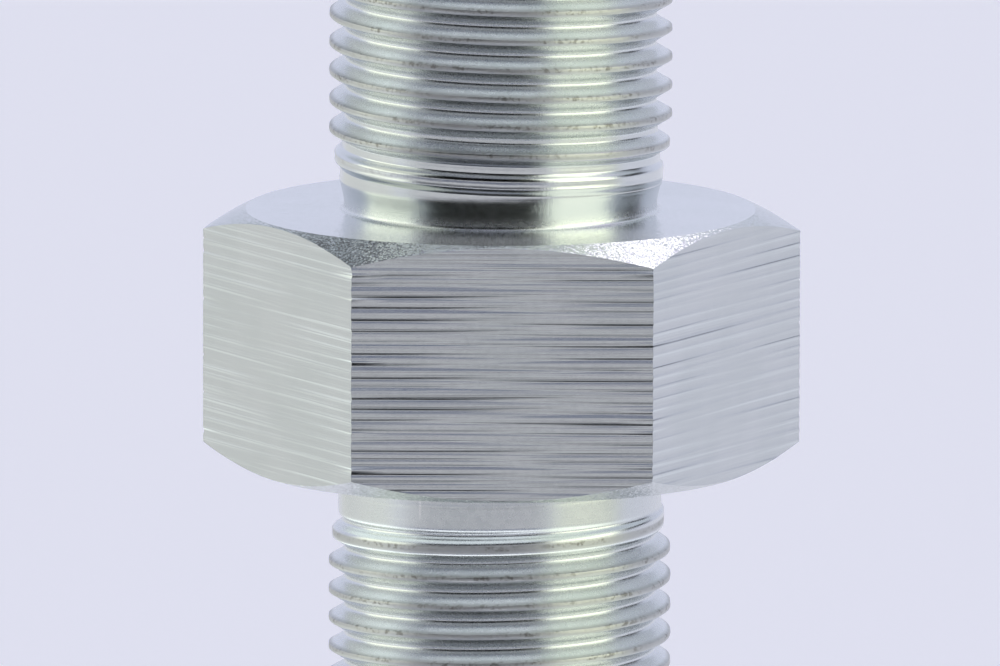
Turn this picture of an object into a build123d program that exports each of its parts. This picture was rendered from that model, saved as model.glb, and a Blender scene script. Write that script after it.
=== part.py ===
from build123d import *
import math
import os

# Hex-centre double-ended stud (turnbuckle or adjusting stud), one piece of steel.
# Turned from cold-drawn hexagon bar: a short hexagon in the middle for a 27 mm
# spanner, and a threaded end on each side of it.  The upper end carries a
# left-hand thread and the lower end a right-hand thread, both M18 x 1.5.
#
# Frame: millimetres, +Z up along the stud.  The origin is the centre of the
# lower end face, on which the stud stands.  Two corners of the hexagon lie on
# the X axis, so two of its flats face -Y and +Y.

# ---- driving dimensions -------------------------------------------------------
across_flats = 27.0          # spanner size of the hexagon
hex_height = 13.4            # length of the hexagon along the axis
hex_chamfer_deg = 25.9       # slope of the turned chamfer on each end of the hexagon
hex_face_dia = 26.57         # diameter of the flat shoulder that the chamfer leaves

thread_dia = 17.87           # major diameter of both threads (M18, class 6g)
thread_pitch = 1.5           # pitch of both threads
neck_dia = 16.85             # plain rolling diameter, shown as a neck beside the hexagon

upper_neck = 0.8             # plain neck above the hexagon
upper_runout = 3.6           # length over which the upper thread grows to full height
lower_neck = 2.1             # plain neck below the hexagon
lower_runout = 2.4           # length over which the lower thread grows to full height
neck_fillet = 0.25           # radius where each neck meets the hexagon's shoulder

threaded_end = 25.0          # length of each end, from the hexagon to the end face
end_chamfer = 0.95           # 45 degree chamfer on each end, to below the thread's root

# ---- derived ------------------------------------------------------------------
total_length = hex_height + 2.0 * threaded_end
z_hex_low = threaded_end
z_hex_high = threaded_end + hex_height
thread_r = thread_dia / 2.0
neck_r = neck_dia / 2.0
face_r = hex_face_dia / 2.0
corner_r = across_flats / math.sqrt(3.0)
reach_r = corner_r + 1.0
chamfer_drop = (reach_r - face_r) * math.tan(math.radians(hex_chamfer_deg))

# ---- turned profile of the whole stud, in the XZ plane --------------------------
# The hexagon's own length is wider here than its corners; the flats are cut by
# intersecting this turned blank with the hexagon bar further on.
end_r = thread_r - end_chamfer

with BuildPart() as turned:
    with BuildSketch(Plane.XZ):
        with BuildLine():
            Polyline(
                (0.0, 0.0),
                (end_r, 0.0),
                (thread_r, end_chamfer),
                (thread_r, z_hex_low - lower_neck - lower_runout),
                (neck_r, z_hex_low - lower_neck),
                (neck_r, z_hex_low),
                (face_r, z_hex_low),
                (reach_r, z_hex_low + chamfer_drop),
                (reach_r, z_hex_high - chamfer_drop),
                (face_r, z_hex_high),
                (neck_r, z_hex_high),
                (neck_r, z_hex_high + upper_neck),
                (thread_r, z_hex_high + upper_neck + upper_runout),
                (thread_r, total_length - end_chamfer),
                (end_r, total_length),
                (0.0, total_length),
                (0.0, 0.0),
            )
        make_face()
    revolve(axis=Axis.Z)

# Small root fillets where the necks meet the hexagon's shoulders
roots = [
    e
    for e in turned.part.edges()
    if e.geom_type == GeomType.CIRCLE
    and abs(e.radius - neck_r) < 1e-6
    and min(abs(e.center().Z - z_hex_low), abs(e.center().Z - z_hex_high)) < 1e-6
]
blank = turned.part.fillet(neck_fillet, roots)

# ---- hexagon bar, over the full length -------------------------------------------
# The bar is far wider than the threaded ends, so it cuts only the middle.
with BuildPart() as bar:
    with BuildSketch(Plane.XY):
        RegularPolygon(radius=corner_r, side_count=6)
    extrude(amount=total_length)

stud = blank & bar.part
stud = stud.solids()[0]
stud.label = "stud"

os.makedirs("parts", exist_ok=True)
export_step(stud, "parts/stud.step")

box = stud.bounding_box()
print("size", round(box.size.X, 4), round(box.size.Y, 4), round(box.size.Z, 4))
print("volume cm3", round(stud.volume / 1000.0, 4))
print("root fillet edges", len(roots))
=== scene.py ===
import math
import bpy
import numpy as np
from mathutils import Matrix, Vector


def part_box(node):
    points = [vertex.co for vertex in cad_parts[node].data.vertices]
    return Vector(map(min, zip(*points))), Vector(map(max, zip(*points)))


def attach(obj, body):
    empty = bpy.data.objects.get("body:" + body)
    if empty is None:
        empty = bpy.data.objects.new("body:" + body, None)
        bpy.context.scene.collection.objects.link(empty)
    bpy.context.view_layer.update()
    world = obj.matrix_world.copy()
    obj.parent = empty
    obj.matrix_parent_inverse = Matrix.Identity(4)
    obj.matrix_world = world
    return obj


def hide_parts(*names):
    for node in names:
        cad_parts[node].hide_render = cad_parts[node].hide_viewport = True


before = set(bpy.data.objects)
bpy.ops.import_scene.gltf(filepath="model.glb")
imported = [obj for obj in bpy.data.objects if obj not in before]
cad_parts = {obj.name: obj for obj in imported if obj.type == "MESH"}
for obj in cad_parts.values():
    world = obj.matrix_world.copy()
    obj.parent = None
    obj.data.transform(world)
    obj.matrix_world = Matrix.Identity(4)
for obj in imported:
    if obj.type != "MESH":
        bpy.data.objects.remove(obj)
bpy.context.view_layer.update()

# =====================================================================================
# Sizes, in millimetres.  z is measured from the middle of the hexagon here, and the
# mesh is moved up to its place on the stud at the end.
# =====================================================================================
low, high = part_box("stud")
TOTAL = (high[2] - low[2]) * 1000.0
Z_MID = TOTAL / 2.0
AF = (high[1] - low[1]) * 1000.0            # across flats
AP = AF / 2.0
RC = AF / math.sqrt(3.0)                    # corner radius
HALF_H = 6.7                                # half the hexagon's height
CH = math.radians(25.9)                     # chamfer slope
R_FACE = 13.287                             # radius of the flat shoulders
PITCH = 1.5
UP_CREST = 10.26                            # height of a crest of the left-hand thread above, at +X
LOW_CREST = -11.07                          # and of the right-hand thread below
R_MAJ = 8.935
R_NECK = 8.425
R_ROOT = 8.10
END_R = 7.985
END_CH = 0.95
AXIS = np.array([-0.065, 0.03])             # the turned features sit this far off the bar's centre

rng = np.random.default_rng(4711)


def smooth(t):
    t = np.clip(t, 0.0, 1.0)
    return t * t * (3.0 - 2.0 * t)


def wave(seed, n, lo, hi):
    """A sum of sines round the circle, seeded: returns f(theta) of about unit height."""
    r = np.random.default_rng(seed)
    k = r.integers(lo, hi, n)
    a = r.normal(size=n) / np.sqrt(n)
    p = r.uniform(0, 2 * np.pi, n)
    return lambda th: sum(a[i] * np.sin(k[i] * th + p[i]) for i in range(n))


# ---- mesh pool ------------------------------------------------------------------------
verts = []          # list of arrays
faces = []          # list of tuples
sharp_pairs = set() # edges kept sharp
face_zone = []      # material zone of each face
n_verts = 0


def add_verts(a):
    global n_verts
    a = np.asarray(a, float).reshape(-1, 3)
    first = n_verts
    verts.append(a)
    n_verts += len(a)
    return np.arange(first, n_verts)


def add_face(ids, zone):
    ids = [int(i) for i in ids]
    out = []
    for i in ids:
        if not out or out[-1] != i:
            out.append(i)
    if len(out) > 1 and out[0] == out[-1]:
        out.pop()
    if len(out) >= 3:
        faces.append(tuple(out))
        face_zone.append(zone)


def sharp(a, b):
    a, b = int(a), int(b)
    if a != b:
        sharp_pairs.add((min(a, b), max(a, b)))


# =====================================================================================
# Threaded ends.  Rows of the grid follow the helix, so every row lies at one place on
# the thread's form, and the columns are cut level at both ends.
# =====================================================================================
NT = 100                                    # columns round a threaded end
ROW_U = [0.0, 0.075, 0.135, 0.165, 0.23, 0.40, 0.525, 0.60, 0.675, 0.75]
CORNER = 2                                  # the row at the edge of the crest
ROW_U = ROW_U + [PITCH - u for u in ROW_U[-2:0:-1]]
M = len(ROW_U)                              # rows for each pitch


def tooth(dr):
    """Radius of the groove that a full thread roll presses, at dr millimetres from its middle."""
    rr = 0.24                               # root radius
    low = R_ROOT + rr                       # centre of the root's arc
    arc = low - np.sqrt(np.maximum(rr * rr - dr * dr, 0.0))
    t_half = rr * math.cos(math.radians(30))
    return np.where(dr < t_half, arc, low - rr * 0.5 + (dr - t_half) * math.sqrt(3.0))


def soft_min(a, b, k):
    h = np.clip(0.5 + 0.5 * (b - a) / k, 0.0, 1.0)
    return b * (1 - h) + a * h - k * h * (1 - h)


def foot_above(z):
    """Above the hexagon the neck is drawn in towards its foot: how much, at height z."""
    return 0.285 * (1.0 - smooth((z - 6.95) / 1.75))


def rolled(u, groove_e, land_e, flat, foot):
    """Section of the rolled thread near its ends.

    groove_e is the share of its full depth that the roll went in, and land_e the share of its
    full height that the metal between two grooves has reached: there it stays a flat land,
    until the rims beside it meet and fill the crest.  With
    flat = 1 the roll's teeth are cut off flat, as on its chamfered lead, so a shallow groove
    is wide; with flat = 0 they are whole."""
    d = np.minimum(u, PITCH - u)            # from the crest's middle
    dr = PITCH / 2 - d                      # from the root's middle
    k = 0.012 + 0.05 * (1 - land_e)
    lift = (1 - groove_e) * (R_NECK - R_ROOT + 0.3 * k)
    neck = R_NECK - foot
    form = tooth(dr)
    groove = np.where(flat > 0.5, np.maximum(form, R_ROOT + lift), form + lift)
    rise = (R_MAJ - 0.010 - R_NECK) * land_e
    dip = 0.025 * flat * smooth(land_e / 0.3) * (1 - smooth((land_e - 0.8) / 0.2)) * np.exp(-(d / 0.15) ** 2)
    crest = neck + rise - dip - 0.6 * np.minimum(d, 0.2) ** 2 * smooth((land_e - 0.6) / 0.4)
    return soft_min(crest, groove, k)


def helix_grid(z_low, z_high, hand, z_crest, depth, flat, seed, cut, smear=None):
    """Columns of vertices from z_low to z_high.  Returns the rings of vertex ids at both ends."""
    height_w = wave(seed + 1, 18, 1, 24)
    flank_w = wave(seed + 2, 22, 2, 40)
    crease_w = wave(seed, 26, 3, 48)
    shift_w = wave(seed + 3, 9, 1, 9)
    cols = []
    j_min = int(math.floor((z_low - z_crest - PITCH * 1.5) / PITCH)) * M
    j_max = int(math.ceil((z_high - z_crest + PITCH * 1.5) / PITCH)) * M
    rows = np.arange(j_min, j_max + 1)
    turn = rows // M
    u = np.array(ROW_U)[rows % M]
    for i in range(NT):
        a = 2 * np.pi * i / NT
        z = z_crest + turn * PITCH + u + hand * PITCH * a / (2 * np.pi)
        # place along the unwound helix, so that the irregularities differ from turn to turn
        s = (a + hand * 2 * np.pi * turn) * 0.913
        z_c = z - np.where(u <= PITCH / 2, u, u - PITCH)      # height of this row's crest
        z_r = z - (u - PITCH / 2)                            # and of its root
        groove_e, e = depth(z_r, z_c)
        r = rolled(u, groove_e, e, flat, foot_above(z) if hand < 0 else 0.0)
        d = np.minimum(u, PITCH - u)
        # the crest's lap: an irregular crease a little above the crest's middle
        lap = np.maximum(0.0, 0.15 + 0.9 * crease_w(s)) * 0.008
        lap_at = np.exp(-((u - 0.08) / 0.045) ** 2)
        r = r - lap * lap_at * np.clip(e * 1.5, 0, 1)
        r = r + height_w(s) * 0.009 * np.clip(1.0 - d / 0.3, 0, 1) * np.clip(e, 0, 1)
        r = r + flank_w(s) * 0.0025
        if smear is not None:
            r = smear(a, z, r, e)
        r = np.minimum(r, R_MAJ + 0.012)
        zs = z + 0.012 * shift_w(s) * np.clip(1.0 - d / 0.4, 0, 1) * np.clip(e, 0, 1)
        inside = (z > z_low + 0.012) & (z < z_high - 0.012) & (zs > z_low + 0.006) & (zs < z_high - 0.006)
        zz, rr, jj = zs[inside], r[inside], rows[inside]
        z_full = np.concatenate([[z_low], zz, [z_high]])
        r_low = float(np.interp(z_low, z, r)); r_high = float(np.interp(z_high, z, r))
        r_col = np.concatenate([[r_low], rr, [r_high]])
        cols.append((a, z_full, r_col, jj))
    ids = []
    for a, z_full, r_col, jj in cols:
        z_full, r_col = cut(a, z_full, r_col)
        p = np.c_[AXIS[0] + r_col * math.cos(a), AXIS[1] + r_col * math.sin(a), z_full]
        ids.append(add_verts(p))
    for i in range(NT):
        k = (i + 1) % NT
        shift = hand * M if k == 0 else 0   # a full turn moves the rows by one pitch
        ja = cols[i][3]
        jb = cols[k][3] - shift             # row numbers of the next column, seen from this one
        A, B = ids[i], ids[k]
        lo = max(ja[0], jb[0]); hi = min(ja[-1], jb[-1])
        ia = lo - ja[0] + 1; ib = lo - jb[0] + 1
        n = hi - lo
        # foot: from the level edge up to the first row that both columns have
        add_face(list(A[:ia + 1])[::-1] + list(B[:ib + 1]), 1)
        for t in range(n):
            add_face((A[ia + t], B[ib + t], B[ib + t + 1], A[ia + t + 1]), 1)
            row = int(lo + t)
            z_row = abs(cols[i][1][ia + t])
            if row % M in (CORNER, M - CORNER) and z_row > 10.9:
                sharp(A[ia + t], B[ib + t])      # the crest's crisp edges, where the thread is full
        ea, eb = ia + n, ib + n
        add_face(list(B[eb:]) + list(A[ea:])[::-1], 1)
    return np.array([c[0] for c in ids]), np.array([c[-1] for c in ids])


def ring(r, z, n=NT, wobble=None):
    a = 2 * np.pi * np.arange(n) / n
    rr = np.full(n, r) if wobble is None else r + wobble(a)
    return add_verts(np.c_[AXIS[0] + rr * np.cos(a), AXIS[1] + rr * np.sin(a), np.full(n, z)])


def band(a, b, zone, flip=False, mark_a=False, mark_b=False):
    n = len(a)
    for i in range(n):
        k = (i + 1) % n
        q = (a[i], a[k], b[k], b[i])
        add_face(q[::-1] if flip else q, zone)
        if mark_a:
            sharp(a[i], a[k])
        if mark_b:
            sharp(b[i], b[k])


def disc(ids, z, zone, flip=False):
    c = add_verts([[AXIS[0], AXIS[1], z]])[0]
    n = len(ids)
    for i in range(n):
        k = (i + 1) % n
        t = (ids[i], ids[k], c)
        add_face(t[::-1] if flip else t, zone)


def depth_upper(z_r, z_c):
    """Depth of the groove and height of the land above the hexagon: a long, gradual run-out."""
    return np.clip((z_r - 7.4) / 4.6, 0.0, 1.0) ** 1.2, np.clip((z_c - 8.5) / 2.2, 0.0, 1.0)


def depth_lower(z_r, z_c):
    """The same below the hexagon, where the thread starts more sharply."""
    return np.clip((-z_r - 8.93) / 1.15, 0.0, 1.0) ** 0.7, np.clip((-z_c - 8.9) / 2.3, 0.0, 1.0)


def end_cut(z_end, sign):
    """The 45 degree chamfer on the stud's end: no radius may stand outside it."""
    def lift(a, z, r):
        limit = END_R + np.maximum(0.0, (z_end - z) * sign)
        return z, np.minimum(r, limit)
    return lift


Z_TOP = TOTAL / 2.0
Z_BOT = -TOTAL / 2.0
FILLET = 0.22

up_low, up_high = helix_grid(HALF_H + FILLET, Z_TOP, -1, UP_CREST, depth_upper, 1.0, 101, end_cut(Z_TOP, 1))
lo_low, lo_high = helix_grid(Z_BOT, -HALF_H - FILLET, 1, LOW_CREST, depth_lower, 0.0, 202, end_cut(Z_BOT, -1))

# end faces, slightly dished by the facing tool
for ids, z, flip in ((up_high, Z_TOP, False), (lo_low, Z_BOT, True)):
    prev = ids
    for n, r in enumerate((6.6, 4.6, 2.4, 0.8)):
        q = ring(r, z - (0.004 if not flip else -0.004) * (n + 1))
        band(prev, q, 3, flip=flip, mark_a=(n == 0))
        prev = q
    disc(prev, z - (0.02 if not flip else -0.02), 3, flip=flip)

# =====================================================================================
# Hexagon.  Rows lie at constant heights, the same on all six faces.
# Each face was cut by two cutters in turn, which left two sets of shallow scallops half
# a feed apart; one set is deeper towards one end of the face, the other towards the other.
# =====================================================================================
DZ = 0.045
NX = 16


def drop(p):
    """How far the chamfer lies below the shoulder at plan point p."""
    r = np.hypot(p[..., 0] - AXIS[0], p[..., 1] - AXIS[1])
    return np.maximum(0.0, (r - R_FACE)) * math.tan(CH)


def face_frame(j):
    """Face j has its outward normal at -90 + 60 j degrees."""
    a = math.radians(-90.0 + 60.0 * j)
    return np.array([math.cos(a), math.sin(a)]), np.array([-math.sin(a), math.cos(a)])


def cuts(seed, start, feed=0.553):
    r = np.random.default_rng(seed)
    z, out = start, []
    while z < 7.6:
        out.append(z)
        z += feed * (1 + 0.13 * r.normal())
    return np.array(out)


# Heights of the ridges between neighbouring grooves on the front flat, bottom to top.  Cutter A
# left the grooves that are deep at the flat's left-hand end, cutter B those at its right-hand end.
# The feed is irregular, and near the top the last few ridges lie close together.
TOP_END = [5.79, 5.95, 6.18, 6.47, 6.72, 7.1, 7.6]
FRONT_A = np.array([-7.6, -7.1, -6.55, -6.05, -5.59, -5.22, -4.75, -4.41, -4.02, -3.45, -2.98, -2.41, -1.84, -1.29,
                    -0.64, -0.22, 0.46, 1.03, 1.65, 2.23, 2.80, 3.45, 4.00, 4.62, 5.14, 5.61] + TOP_END)
FRONT_B = np.array([-7.5, -7.0, -6.60, -6.16, -5.85, -5.38, -4.91, -4.54, -4.13, -3.66, -3.09, -2.59, -2.02, -1.52,
                    -0.85, -0.33, 0.25, 0.82, 1.45, 2.02, 2.59, 3.27, 3.76, 4.36, 4.91, 5.46] + TOP_END)
# single scratches by a chipped tool, over the whole width: height, depth
FRONT_LINES = ((6.45, 0.0030), (6.16, 0.0040), (5.93, 0.0035), (5.77, 0.0035), (5.62, 0.0045), (4.32, 0.0030),
               (3.21, 0.0055), (1.23, 0.0030), (0.19, 0.0045), (-0.83, 0.0015), (-2.99, 0.0040), (2.40, 0.0015),
               (-1.10, 0.0018), (-4.20, 0.0015), (5.30, 0.0015))


def scallop(z, cusps, strength):
    """Depth (zero or less) of the grooves between neighbouring ridges.

    Down from a ridge the groove recedes by about 10 degrees and levels out halfway, then rises
    gently, and ends in a short steep lip below the next ridge."""
    i = np.clip(np.searchsorted(cusps, z) - 1, 0, len(cusps) - 2)
    a, b = cusps[i], cusps[i + 1]
    w = b - a
    t = 1.0 - (z - a) / w
    p = np.minimum(t, 0.5)
    d = -0.19 * (p - p * p)
    p = np.clip(t - 0.5, 0.0, 0.35)
    d = d + 0.10 * p * p
    p = np.clip(t - 0.85, 0.0, 0.15)
    d = d + 0.07 * p + 0.45 * p * p
    return d * w * strength[i]


def face_depth(j, x, z):
    """Inward depth of face j at x along it and height z, in millimetres (0 at the ridges)."""
    if j == 0:
        A, B = FRONT_A, FRONT_B
    else:
        A = cuts(900 + j, -7.5 + 0.09 * j)
        B = cuts(950 + j, -7.22 + 0.09 * j)
    r = np.random.default_rng(300 + j)
    slope = 0.0020 * (1 if j in (0, 3) else 0.8)
    # the helix of the feed: marks climb a little along the face
    zt = z + 0.0012 * x
    da = scallop(zt, A, r.uniform(0.7, 1.3, len(A))) + slope * x
    db = scallop(zt, B, r.uniform(0.7, 1.3, len(B))) - slope * x
    # each pass sits a little higher or lower than the last
    ia = np.clip(np.searchsorted(A, zt) - 1, 0, len(A) - 2)
    ib = np.clip(np.searchsorted(B, zt) - 1, 0, len(B) - 2)
    la = (r.normal(size=len(A)) * 0.0016)[ia]
    lb = (r.normal(size=len(B)) * 0.0016)[ib]
    h = np.minimum(da + la, db + lb)
    # fine lines inside each groove, and single scratches
    k = np.random.default_rng(60 + j)
    fine = np.zeros_like(h)
    for n in range(16):
        f = k.uniform(18, 60); p = k.uniform(0, 6.28)
        fine += np.sin(f * zt + p + 0.35 * np.sin(0.25 * x + p)) * 0.00022
    if j == 0:
        lines = FRONT_LINES
    else:
        lines = [(k.uniform(-6.3, 6.3), k.uniform(0.0015, 0.005)) for n in range(12)]
    for z0, d in lines:
        fine -= d * np.exp(-((zt - z0) / 0.034) ** 2)
    return h + fine - 0.004


# corner points of the hexagon, at angle 60 k - 120 (left end of face k)
z_rows = np.arange(-HALF_H, HALF_H + DZ / 2, DZ)
z_rows = np.linspace(-HALF_H, HALF_H, len(z_rows))

tan_ch = math.tan(CH)


def corner_xy(j, z):
    """Where faces j-1 and j meet at height z, with both faces' marks."""
    n0, t0 = face_frame(j - 1)
    n1, t1 = face_frame(j)
    half = RC / 2
    d0 = AP + face_depth((j - 1) % 6, np.full_like(z, half), z)
    d1 = AP + face_depth(j % 6, np.full_like(z, -half), z)
    det = n0[0] * n1[1] - n0[1] * n1[0]
    x = (d0 * n1[1] - n0[1] * d1) / det
    y = (n0[0] * d1 - d0 * n1[0]) / det
    return x, y


corner_rows = []       # per corner: dict of row index -> vertex id, and top/bottom tips
tips = []
for j in range(6):
    a = math.radians(-90.0 + 60.0 * j - 30.0)
    c = np.array([RC * math.cos(a), RC * math.sin(a)])
    z_top = HALF_H - float(drop(c)); z_bot = -z_top
    sel = np.where((z_rows > z_bot + 0.01) & (z_rows < z_top - 0.01))[0]
    x, y = corner_xy(j, z_rows[sel])
    # small knocks on the sharp corner
    kn = np.random.default_rng(70 + j)
    pull = np.zeros(len(sel))
    for n in range(7):
        z0 = kn.uniform(-5.2, 5.2); w = kn.uniform(0.05, 0.14); d = kn.uniform(0.01, 0.04)
        pull += d * np.exp(-((z_rows[sel] - z0) / w) ** 2)
    if j == 0:
        for z0, w, d in ((5.15, 0.10, 0.07), (3.92, 0.09, 0.06), (0.64, 0.07, 0.05), (-5.0, 0.12, 0.04)):
            pull += d * np.exp(-((z_rows[sel] - z0) / w) ** 2)
    if j == 1:
        for z0, w, d in ((5.30, 0.12, 0.05), (1.6, 0.08, 0.03)):
            pull += d * np.exp(-((z_rows[sel] - z0) / w) ** 2)
    f = 1 - pull / RC
    ids = add_verts(np.c_[x * f, y * f, z_rows[sel]])
    corner_rows.append(dict(zip(sel.tolist(), ids.tolist())))
    tx, ty = corner_xy(j, np.array([z_bot, z_top]))
    t = add_verts([[tx[0], ty[0], z_bot], [tx[1], ty[1], z_top]])
    tips.append((int(t[0]), int(t[1])))
    col = [t[0]] + ids.tolist() + [t[1]]
    for p, q in zip(col, col[1:]):
        sharp(p, q)

outline_top, outline_bot = [], []    # closed loops of ids round the hexagon, counter-clockwise


def face_point(j, x, z):
    n, t = face_frame(j)
    d = AP + face_depth(j, np.asarray(x, float), np.asarray(z, float))
    return np.c_[n[0] * d + t[0] * x, n[1] * d + t[1] * x, z]


edge_w = [wave(500 + k, 30, 10, 90) for k in range(12)]
for j in range(6):
    n, t = face_frame(j)
    c = AXIS @ np.c_[n, t]            # the turned axis in this face's frame: along n, along t
    half = RC / 2
    # half-width of the face at each height, from the cone
    z_mid = HALF_H - (AP - c[0] - R_FACE) * tan_ch     # top of the arc
    left, right = corner_rows[j], corner_rows[(j + 1) % 6]
    tip_l, tip_r = tips[j], tips[(j + 1) % 6]
    u = np.linspace(0, 1, NX + 1)
    grid = {}
    keep = [k for k, z in enumerate(z_rows) if abs(z) < z_mid - 0.035]
    for k in keep:
        z = z_rows[k]
        rr = R_FACE + (HALF_H - abs(z)) / tan_ch
        w = math.sqrt(max(rr * rr - (AP - c[0]) ** 2, 0.0))
        # a slightly ragged edge where the chamfer's tool left a burr
        rag = 0.020 * float(edge_w[2 * j + (z > 0)](z * 3.0))
        has_l, has_r = k in left, k in right
        xl = -half if has_l else max(-half + 0.05, c[1] - w + rag)
        xr = half if has_r else min(half - 0.05, c[1] + w - rag)
        x = xl + (xr - xl) * u
        p = face_point(j, x, np.full(NX + 1, z))
        ids = np.empty(NX + 1, int)
        inner = slice(1 if has_l else 0, NX if has_r else NX + 1)
        ids[inner] = add_verts(p[inner])
        if has_l:
            ids[0] = left[k]
        if has_r:
            ids[-1] = right[k]
        grid[k] = (ids, xl, xr, has_l, has_r)
    ks = sorted(grid)
    for a, b in zip(ks, ks[1:]):
        ia, ib = grid[a][0], grid[b][0]
        for q in range(NX):
            f = [ia[q], ia[q + 1], ib[q + 1], ib[q]]
            # the corner's tip lies between a full row and a clipped one
            if q == 0 and grid[a][3] != grid[b][3]:
                f = [ia[0], ia[1], ib[1], ib[0], tip_l[1 if grid[a][3] else 0]]
            if q == NX - 1 and grid[a][4] != grid[b][4]:
                tip = tip_r[1 if grid[a][4] else 0]
                if q == 0:
                    raise RuntimeError("face too narrow")
                f = [ia[q], ia[q + 1], tip, ib[q + 1], ib[q]]
            add_face(f, 0)
    # the last strip, up to the arc itself
    for side in (1, -1):
        k = ks[-1] if side == 1 else ks[0]
        ids, xl, xr, _, _ = grid[k]
        x = xl + (xr - xl) * u[1:-1]
        p_in = np.array([n * AP + t * xx for xx in x])
        z = side * (HALF_H - drop(p_in)) + side * 0.004 * edge_w[2 * j + (side > 0)](x * 2.2)
        top = add_verts(face_point(j, x, z))
        arc = np.concatenate([[ids[0]], top, [ids[-1]]])
        for q in range(NX):
            f = (ids[q], ids[q + 1], arc[q + 1], arc[q])
            add_face(f if side == 1 else f[::-1], 0)
        # outline of this face's edge, from its left corner tip to its right one
        seq_l = [kk for kk in (ks if side == 1 else ks[::-1]) if (z_rows[kk] * side > 0 and not grid[kk][3])]
        seq_r = [kk for kk in (ks if side == 1 else ks[::-1]) if (z_rows[kk] * side > 0 and not grid[kk][4])]
        loop = [tip_l[1 if side == 1 else 0]]
        loop += [int(grid[kk][0][0]) for kk in seq_l if kk != k]
        loop += [int(v) for v in arc]
        loop += [int(grid[kk][0][-1]) for kk in seq_r[::-1] if kk != k]
        (outline_top if side == 1 else outline_bot).append(loop)

loops = {}
for side, parts in ((1, outline_top), (-1, outline_bot)):
    whole = []
    for part in parts:
        whole += part
    loops[side] = np.array(whole)
    for p, q in zip(whole, whole[1:] + whole[:1]):
        sharp(p, q)

allv = np.concatenate(verts)


def zip_rings(a, b, zone, flip):
    """Triangles between two closed rings with different counts, matched by angle round the axis."""
    pa = np.concatenate(verts)
    def ang(ids):
        th = np.unwrap(np.arctan2(pa[ids, 1] - AXIS[1], pa[ids, 0] - AXIS[0]))
        return th
    ta, tb = ang(a), ang(b)
    # start both at the same angle
    s = int(np.argmin(np.abs((tb - ta[0] + np.pi) % (2 * np.pi) - np.pi)))
    b = np.roll(b, -s); tb = ang(b)
    tb = tb + 2 * np.pi * round((ta[0] - tb[0]) / (2 * np.pi))
    ia = ib = 0
    na, nb = len(a), len(b)
    while ia < na or ib < nb:
        nxt_a = ta[ia + 1] if ia + 1 < na else ta[0] + 2 * np.pi
        nxt_b = tb[ib + 1] if ib + 1 < nb else tb[0] + 2 * np.pi
        if ib >= nb or (ia < na and nxt_a <= nxt_b):
            f = (a[ia % na], a[(ia + 1) % na], b[ib % nb]); ia += 1
        else:
            f = (a[ia % na], b[(ib + 1) % nb], b[ib % nb]); ib += 1
        add_face(f[::-1] if flip else f, zone)


# chamfer cones and shoulders
for side in (1, -1):
    loop = loops[side]
    p = np.concatenate(verts)[loop]
    th = np.arctan2(p[:, 1] - AXIS[1], p[:, 0] - AXIS[0])
    r_out = np.hypot(p[:, 0] - AXIS[0], p[:, 1] - AXIS[1])
    rim_w = wave(640 + side, 16, 3, 40)
    r_in = R_FACE - 0.01 + 0.006 * rim_w(th)
    rim = add_verts(np.c_[AXIS[0] + r_in * np.cos(th), AXIS[1] + r_in * np.sin(th), np.full(len(th), side * HALF_H)])
    prev = loop
    for share in (0.12, 0.5):
        mid_r = r_out + (r_in - r_out) * share
        mid_z = side * (HALF_H - (mid_r - R_FACE) * tan_ch)
        mid = add_verts(np.c_[AXIS[0] + mid_r * np.cos(th), AXIS[1] + mid_r * np.sin(th), mid_z])
        band(prev, mid, 2, flip=(side == -1))
        prev = mid
    band(prev, rim, 2, flip=(side == -1), mark_b=True)
    # shoulder: a thin ring with the same points, then down to the neck's count
    q = ring(12.6, side * HALF_H)
    zip_rings(rim, q, 3, flip=(side == -1))
    prev = q
    foot = R_NECK - (foot_above(HALF_H + FILLET) if side == 1 else 0.0)
    for r in (11.4, 10.0, 9.1, foot + FILLET + 0.02):
        nxt = ring(r, side * HALF_H)
        band(prev, nxt, 3, flip=(side == -1))
        prev = nxt
    # root fillet up to the neck
    for k in range(1, 4):
        a = math.radians(90 * k / 4)
        nxt = ring(foot + FILLET * (1 - math.sin(a)), side * (HALF_H + FILLET * (1 - math.cos(a))))
        band(prev, nxt, 1, flip=(side == -1))
        prev = nxt
    end = up_low if side == 1 else lo_high
    band(prev, end, 1, flip=(side == -1))

# ---- the mesh ---------------------------------------------------------------------------
pts = np.concatenate(verts)
pts[:, 2] += Z_MID
mesh = bpy.data.meshes.new("stud_skin")
mesh.from_pydata((pts * 0.001).tolist(), [], faces)
mesh.validate(verbose=False)
mesh.update()
tri = sum(len(p.vertices) - 2 for p in mesh.polygons)
print("stud triangles", tri, "verts", len(mesh.vertices))

mesh.polygons.foreach_set("use_smooth", [True] * len(mesh.polygons))
edge_keys = {tuple(sorted(e.vertices)): e.index for e in mesh.edges}
flag = np.zeros(len(mesh.edges), bool)
missing = 0
for key in sharp_pairs:
    k = edge_keys.get(key)
    if k is None:
        missing += 1
    else:
        flag[k] = True
att = mesh.attributes.new("sharp_edge", "BOOLEAN", "EDGE")
att.data.foreach_set("value", flag)
print("sharp edges", int(flag.sum()), "not found", missing)

stud = bpy.data.objects.new("stud_skin", mesh)
bpy.context.scene.collection.objects.link(stud)

# closed?
import bmesh
bm = bmesh.new(); bm.from_mesh(mesh)
open_edges = sum(1 for e in bm.edges if len(e.link_faces) != 2)
vol = bm.calc_volume(signed=True)
print("open edges", open_edges, "volume cm3", vol * 1e6)
bm.free()


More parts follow.
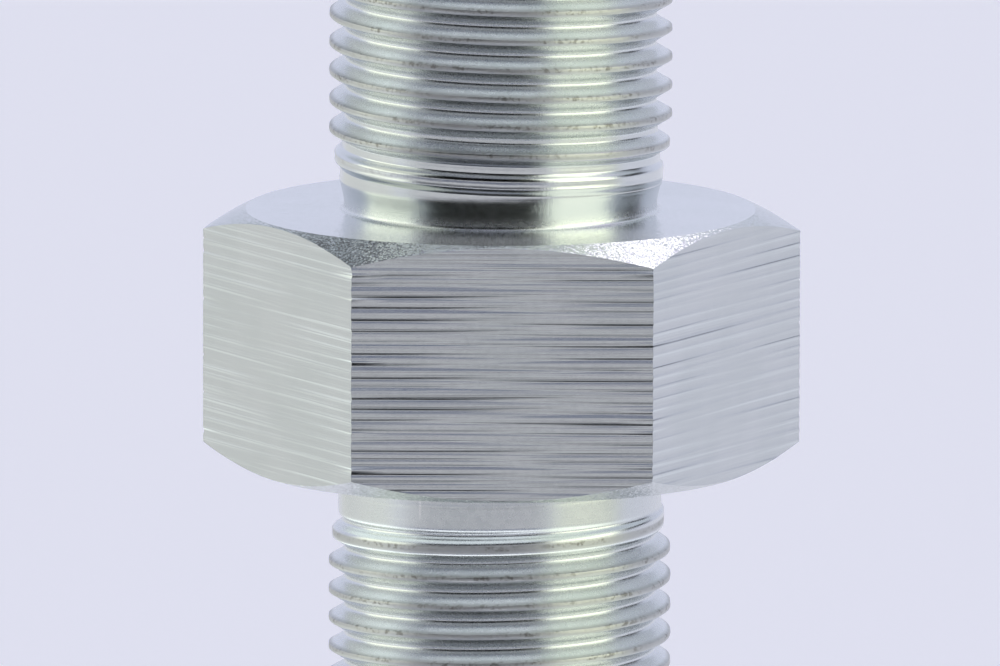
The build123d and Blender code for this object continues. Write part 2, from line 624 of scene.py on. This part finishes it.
# =====================================================================================
# Material helpers
# =====================================================================================
class Nodes:
    def __init__(self, tree):
        self.t = tree
        self.n = tree.nodes
        self.l = tree.links

    def new(self, kind, **props):
        n = self.n.new(kind)
        for k, v in props.items():
            setattr(n, k, v)
        return n

    def put(self, sock, v):
        if hasattr(v, "links") or isinstance(v, bpy.types.NodeSocket):
            self.l.new(v, sock)
        else:
            sock.default_value = v

    def math(self, op, *a, clamp=False):
        n = self.new("ShaderNodeMath", operation=op, use_clamp=clamp)
        for s, v in zip(n.inputs, a):
            self.put(s, v)
        return n.outputs[0]

    def smooth(self, v, lo, hi, out_lo=0.0, out_hi=1.0):
        n = self.new("ShaderNodeMapRange", interpolation_type="SMOOTHSTEP", clamp=True)
        for name, x in (("Value", v), ("From Min", lo), ("From Max", hi), ("To Min", out_lo), ("To Max", out_hi)):
            self.put(n.inputs[name], x)
        return n.outputs["Result"]

    def mix(self, f, a, b, mode="MIX"):
        n = self.new("ShaderNodeMix", data_type="RGBA", blend_type=mode)
        self.put(n.inputs["Factor"], f)
        self.put(n.inputs[6], a)
        self.put(n.inputs[7], b)
        return n.outputs[2]

    def noise(self, vec, scale, detail=2.0, rough=0.5, dim="3D"):
        n = self.new("ShaderNodeTexNoise", noise_dimensions=dim)
        self.put(n.inputs["Vector"], vec)
        n.inputs["Scale"].default_value = scale
        n.inputs["Detail"].default_value = detail
        n.inputs["Roughness"].default_value = rough
        return n.outputs["Fac"]

    def scaled(self, vec, s):
        n = self.new("ShaderNodeMapping")
        self.put(n.inputs["Vector"], vec)
        n.inputs["Scale"].default_value = s
        return n.outputs["Vector"]

    def bump(self, height, strength, distance, normal=None):
        n = self.new("ShaderNodeBump")
        n.inputs["Strength"].default_value = strength
        n.inputs["Distance"].default_value = distance
        self.put(n.inputs["Height"], height)
        if normal is not None:
            self.put(n.inputs["Normal"], normal)
        return n.outputs["Normal"]


def zinc(name, rough, brushed=0.0, tint=(0.70, 0.725, 0.735)):
    """Bright zinc plate.  brushed spreads the gloss across the tool marks, which run level round the stud."""
    m = bpy.data.materials.new(name)
    m.use_nodes = True
    m.node_tree.nodes.clear()
    N = Nodes(m.node_tree)
    out = N.new("ShaderNodeOutputMaterial")
    b = N.new("ShaderNodeBsdfPrincipled")
    N.l.new(b.outputs[0], out.inputs[0])
    pos = N.new("ShaderNodeTexCoord").outputs["Object"]
    b.inputs["Metallic"].default_value = 1.0
    b.inputs["Anisotropic"].default_value = brushed
    b.inputs["Anisotropic Rotation"].default_value = 0.25
    cloud = N.noise(pos, 260.0, 3.0)
    fleck = N.noise(pos, 2600.0, 2.0)
    c1 = tuple(tint) + (1.0,)
    c2 = tuple(x * y for x, y in zip(tint, (0.96, 0.97, 0.965))) + (1.0,)
    col = N.mix(N.smooth(cloud, 0.35, 0.68), c1, c2)
    N.put(b.inputs["Base Color"], col)
    r = N.smooth(fleck, 0.3, 0.75, rough * 0.95, rough * 1.08)
    N.put(b.inputs["Roughness"], r)
    return m, N, b, pos


def turned_coords(N, pos):
    """Angle round the axis, height from the hexagon's middle in mm, and millimetres from the nearest crest."""
    sep = N.new("ShaderNodeSeparateXYZ")
    N.put(sep.inputs[0], pos)
    x = N.math("SUBTRACT", sep.outputs[0], AXIS[0] * 0.001)
    y = N.math("SUBTRACT", sep.outputs[1], AXIS[1] * 0.001)
    z = N.math("SUBTRACT", N.math("MULTIPLY", sep.outputs[2], 1000.0), Z_MID)
    theta = N.math("ARCTAN2", y, x)
    turn = N.math("MULTIPLY", theta, 1 / (2 * math.pi))
    above = N.math("GREATER_THAN", z, 0.0)
    upper = N.math("ADD", N.math("DIVIDE", N.math("SUBTRACT", z, UP_CREST), PITCH), turn)
    lower = N.math("SUBTRACT", N.math("DIVIDE", N.math("SUBTRACT", z, LOW_CREST), PITCH), turn)
    ph = N.math("ADD", N.math("MULTIPLY", upper, above),
                N.math("MULTIPLY", lower, N.math("SUBTRACT", 1.0, above)))
    w = N.math("MULTIPLY", N.math("WRAP", ph, 0.5, -0.5), PITCH)
    comb = N.new("ShaderNodeCombineXYZ")
    N.put(comb.inputs[0], N.math("MULTIPLY", theta, R_NECK))
    N.put(comb.inputs[1], z)
    return theta, z, w, comb.outputs[0]


# flats of the hexagon: long fine lines of the cutter
m_face, N, b, pos = zinc("zinc_face", 0.22, 0.3, (0.63, 0.653, 0.662))
lines = N.noise(N.scaled(pos, (40.0, 40.0, 7500.0)), 1.0, 3.0, 0.65)
nrm = N.bump(lines, 1.0, 0.000010)
nrm = N.bump(N.noise(pos, 6000.0, 1.0), 0.5, 0.000002, nrm)
N.put(b.inputs["Normal"], nrm)

# threads and necks
m_thread, N, b, pos = zinc("zinc_thread", 0.27, 0.3)
theta, z_mm, w, flatco = turned_coords(N, pos)
col = b.inputs["Base Color"].links[0].from_socket
rgh = b.inputs["Roughness"].links[0].from_socket
# the lap along the crest: ragged, with painted shade darkening its pits
band = N.math("MULTIPLY", N.smooth(w, -0.08, 0.0), N.smooth(w, 0.14, 0.26, 1.0, 0.0))
stretch = N.smooth(N.noise(pos, 420.0, 2.0), 0.38, 0.62)
pit_shade = N.math("MULTIPLY", N.smooth(N.noise(pos, 3800.0, 2.0, 0.6), 0.46, 0.66), band)
pit_shade = N.math("MULTIPLY", pit_shade, stretch)
away = N.math("MULTIPLY", N.smooth(z_mm, 8.8, 10.6), 1.0)
away = N.math("MAXIMUM", away, N.smooth(z_mm, -9.3, -8.9, 1.0, 0.0))
pit_shade = N.math("MULTIPLY", pit_shade, away)
# painted shade: the crests of the full thread are painted darker; the same mask also makes them rougher below
top = N.math("MULTIPLY", N.smooth(N.math("ABSOLUTE", N.math("SUBTRACT", w, 0.05)), 0.10, 0.26, 1.0, 0.0), away)
col = N.mix(N.math("MULTIPLY", top, 0.8), col, (0.47, 0.475, 0.465, 1))
# painted shade: the pits in the crest's lap are darkened towards a dark brown-grey
col = N.mix(N.math("MULTIPLY", pit_shade, 0.75), col, (0.18, 0.17, 0.15, 1))
N.put(b.inputs["Base Color"], col)
# the run-out above the hexagon was burnished by the roll, and is uneven
run = N.math("MULTIPLY", N.smooth(z_mm, 7.0, 7.6), N.smooth(z_mm, 9.6, 10.8, 1.0, 0.0))
rgh = N.math("SUBTRACT", rgh, N.math("MULTIPLY", run, 0.055))
rgh = N.math("ADD", rgh, N.math("MULTIPLY", top, 0.10))
N.put(b.inputs["Roughness"], rgh)
nrm = N.bump(N.noise(N.scaled(flatco, (0.25, 14.0, 1.0)), 1.0, 2.0, 0.5), 1.0, 0.0000018)
nrm = N.bump(N.noise(pos, 3000.0, 2.0, 0.5), 1.0, 0.0000005, nrm)
grain = N.math("MULTIPLY", N.noise(N.scaled(flatco, (7.0, 3.0, 1.0)), 1.0, 2.0, 0.6), run)
nrm = N.bump(grain, 1.0, 0.0000045, nrm)
nrm = N.bump(N.math("MULTIPLY", N.noise(pos, 4300.0, 2.0, 0.6), N.math("MULTIPLY", band, away)), 1.0, 0.000014, nrm)
# broken turning marks round the foot of the upper neck
foot = N.math("MULTIPLY", N.smooth(z_mm, 6.72, 6.85), N.smooth(z_mm, 7.2, 7.6, 1.0, 0.0))
marks = N.math("MULTIPLY", N.noise(N.scaled(flatco, (2.2, 11.0, 1.0)), 1.0, 3.0, 0.7), foot)
nrm = N.bump(marks, 1.0, 0.000012, nrm)
N.put(b.inputs["Normal"], nrm)
# a draw line down the lower neck
seam = N.math("ABSOLUTE", N.math("ADD", theta, 2.087))
seam = N.math("MULTIPLY", N.smooth(seam, 0.004, 0.011, 1.0, 0.0), N.smooth(z_mm, -8.7, -8.2, 0.0, 1.0))
seam = N.math("MULTIPLY", seam, N.smooth(z_mm, -6.9, -6.7, 1.0, 0.0))
col = N.mix(N.math("MULTIPLY", seam, 0.6), col, (0.90, 0.90, 0.90, 1))
N.put(b.inputs["Base Color"], col)


def sparkle(N, pos, size, tilt):
    """A frosted turned surface: the normal differs a little from one small facet to the next."""
    v = N.new("ShaderNodeTexVoronoi", feature="F1")
    N.put(v.inputs["Vector"], pos)
    v.inputs["Scale"].default_value = 1.0 / size
    off = N.new("ShaderNodeVectorMath", operation="SUBTRACT")
    N.put(off.inputs[0], v.outputs["Color"])
    off.inputs[1].default_value = (0.5, 0.5, 0.5)
    sc = N.new("ShaderNodeVectorMath", operation="SCALE")
    N.put(sc.inputs[0], off.outputs[0])
    sc.inputs["Scale"].default_value = tilt
    geo = N.new("ShaderNodeNewGeometry")
    add = N.new("ShaderNodeVectorMath", operation="ADD")
    N.put(add.inputs[0], geo.outputs["Normal"])
    N.put(add.inputs[1], sc.outputs[0])
    nn = N.new("ShaderNodeVectorMath", operation="NORMALIZE")
    N.put(nn.inputs[0], add.outputs[0])
    return nn.outputs[0]


m_cone, N, b, pos = zinc("zinc_chamfer", 0.24, 0.3)
nrm = sparkle(N, pos, 0.00007, 0.30)
nrm = N.bump(N.noise(pos, 1800.0, 2.0, 0.6), 0.6, 0.00001, nrm)
N.put(b.inputs["Normal"], nrm)

m_flat, N, b, pos = zinc("zinc_shoulder", 0.18, 0.3)
nrm = sparkle(N, pos, 0.00007, 0.10)
nrm = N.bump(N.noise(pos, 900.0, 2.0, 0.6), 0.5, 0.000006, nrm)
N.put(b.inputs["Normal"], nrm)

for m in (m_face, m_thread, m_cone, m_flat):
    mesh.materials.append(m)
mesh.polygons.foreach_set("material_index", face_zone)
mesh.update()

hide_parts("stud")
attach(stud, "root")

# =====================================================================================
# Studio: a pale floor, and soft light all round from a painted dome
# =====================================================================================
PALE = (0.731, 0.745, 0.863)                # linear value of the pale lavender background
FLOOR_GLOW = (0.075, 0.07, 0.145)             # the floor is a lit table: it gives some light itself

fm = bpy.data.meshes.new("floor")
S = 30.0
fm.from_pydata([(-S, -S, 0), (S, -S, 0), (S, S, 0), (-S, S, 0)], [], [(0, 1, 2, 3)])
floor = bpy.data.objects.new("floor", fm)
bpy.context.scene.collection.objects.link(floor)
floor.visible_glossy = False
mat = bpy.data.materials.new("floor")
mat.use_nodes = True
fb = mat.node_tree.nodes["Principled BSDF"]
fb.inputs["Base Color"].default_value = (0.95, 0.95, 1.0, 1)
fb.inputs["Roughness"].default_value = 1.0
fb.inputs["Specular IOR Level"].default_value = 0.0
fb.inputs["Emission Color"].default_value = FLOOR_GLOW + (1.0,)
fb.inputs["Emission Strength"].default_value = 1.0
fm.materials.append(mat)

world = bpy.data.worlds.new("studio")
bpy.context.scene.world = world
world.use_nodes = True
world.node_tree.nodes.clear()
W = Nodes(world.node_tree)
wo = W.new("ShaderNodeOutputWorld")
direc = W.new("ShaderNodeTexCoord").outputs["Generated"]
sep = W.new("ShaderNodeSeparateXYZ")
W.put(sep.inputs[0], direc)
dx, dy, dz = sep.outputs
# azimuth: 0 towards the camera's side (-Y), positive to the right (+X), in degrees
az = W.math("MULTIPLY", W.math("ARCTAN2", dx, W.math("MULTIPLY", dy, -1.0)), 180 / math.pi)
el = W.math("MULTIPLY", W.math("ARCSINE", dz), 180 / math.pi)


def patch(a0, a1, e0, e1, soft_a, soft_e):
    """1 inside a box of azimuth and elevation with soft edges; None leaves a side open."""
    f = None
    for v, lo, hi, soft in ((az, a0, a1, soft_a), (el, e0, e1, soft_e)):
        for edge, way in ((lo, 1), (hi, 0)):
            if edge is None:
                continue
            g = W.smooth(v, edge - soft, edge + soft, 1.0 - way, float(way))
            f = g if f is None else W.math("MULTIPLY", f, g)
    return f


# Each soft light: name, azimuth from and to, elevation from and to, softness of both, colour.
# A later one lies over the earlier ones.
LIGHTS = (
    ("room", None, None, None, None, 0, 0, (0.74, 0.77, 0.93)),
    ("room_high", None, None, 24, None, 0, 8, (0.52, 0.58, 0.64)),
    ("zenith", None, None, 62, None, 0, 5, (0.48, 0.49, 0.60)),
    ("table", None, None, None, -2, 0, 5, (0.79, 0.80, 0.90)),
    ("table_right_back", 98, 150, None, -17, 7, 6, (0.98, 1.02, 1.15)),
    ("table_front", -72, 36, None, -2, 10, 5, (1.50, 1.55, 1.62)),
    ("table_front_mid", -72, 36, -36, -2, 10, 4, (0.18, 0.20, 0.30)),
    ("table_front_near", -72, 36, -16, -1, 10, 3, (0.79, 0.79, 0.82)),
    ("table_left", -156, -84, None, -1, 7, 4, (0.79, 0.80, 0.79)),
    ("table_left_deep", -156, -84, None, -20, 7, 8, (1.65, 1.75, 1.70)),
    ("table_right", 41, 94, None, -1, 7, 4, (0.68, 0.70, 0.66)),
    ("table_right_deep", 41, 98, None, -24, 7, 8, (1.60, 1.70, 1.50)),
    ("horizon_strip", -68, 36, -1, 4, 8, 3, (0.18, 0.18, 0.20)),
    ("dark_room", -62, 34, 4, 62, 7, 4, (0.0, 0.0, 0.0)),
    ("left_box", -118, -68, 0, 24, 6, 4, (1.70, 1.76, 1.48)),
    ("left_box_high", -118, -68, 24, 66, 6, 6, (0.85, 0.88, 0.78)),
    ("right_box_low", 38, 88, 0, 12, 5, 4, (2.60, 2.70, 1.95)),
    ("right_box", 36, 90, 12, 66, 5, 5, (1.70, 1.75, 1.50)),
    ("gap", 97, 128, 4, 24, 7, 4, (0.0, 0.0, 0.0)),
    ("back_right_high", 95, 172, 38, 72, 8, 8, (0.97, 0.90, 1.14)),
    ("key", 148, 174, 44, 62, 5, 5, (3.1, 3.0, 3.0)),
    ("back_left_high", -166, -130, 38, 72, 6, 8, (0.08, 0.08, 0.09)),
)
col = None
for name, a0, a1, e0, e1, sa, se, c in LIGHTS:
    rgb = W.new("ShaderNodeRGB", name=name)
    rgb.outputs[0].default_value = tuple(c) + (1.0,)
    if col is None:
        col = rgb.outputs[0]
    else:
        col = W.mix(patch(a0, a1, e0, e1, sa, se), col, rgb.outputs[0])
bg_env = W.new("ShaderNodeBackground")
W.put(bg_env.inputs[0], col)
bg_cam = W.new("ShaderNodeBackground")
bg_cam.inputs[0].default_value = PALE + (1.0,)
mixs = W.new("ShaderNodeMixShader")
lp = W.new("ShaderNodeLightPath")
W.put(mixs.inputs[0], lp.outputs["Is Camera Ray"])
W.l.new(bg_env.outputs[0], mixs.inputs[1])
W.l.new(bg_cam.outputs[0], mixs.inputs[2])
W.l.new(mixs.outputs[0], wo.inputs[0])

# =====================================================================================
# Camera: long lens, looking down by 8.7 degrees onto the middle of the hexagon
# =====================================================================================
EL = math.radians(8.716)
DIST = 1.1104
PX_PER_MM = 19.191
X0, Y0 = 501.42, 335.63
ROLL = math.radians(-0.145)
TURN = math.radians(0.197)                  # the stud is turned this much against the camera

cam_data = bpy.data.cameras.new("camera")
cam = bpy.data.objects.new("camera", cam_data)
bpy.context.scene.collection.objects.link(cam)
f_px = PX_PER_MM * DIST * 1000.0
cam_data.sensor_fit = "HORIZONTAL"
cam_data.sensor_width = 36.0
cam_data.lens = f_px * 36.0 / 1000.0
cam_data.clip_start = 0.05
cam_data.clip_end = 60.0
target = Vector((0, 0, Z_MID * 0.001))
# the camera swings by -TURN so that the stud keeps its own frame
d = Vector((-math.sin(TURN) * math.cos(EL), -math.cos(TURN) * math.cos(EL), math.sin(EL)))
eye = target + d * DIST
back = d.normalized()
right = Vector((0, 0, 1)).cross(back).normalized()
up = back.cross(right).normalized()
# shift sideways so that the middle of the hexagon falls where it should in the frame
off_x = (500.0 - X0) / f_px * DIST
off_y = (Y0 - 333.0) / f_px * DIST
eye = eye + right * off_x + up * off_y
rot = Matrix((right, up, back)).transposed()
rot = rot @ Matrix.Rotation(-ROLL, 3, "Z")
cam.matrix_world = Matrix.Translation(eye) @ rot.to_4x4()
bpy.context.scene.camera = cam

bpy.context.scene.view_settings.view_transform = "Standard"
bpy.context.scene.view_settings.look = "None"
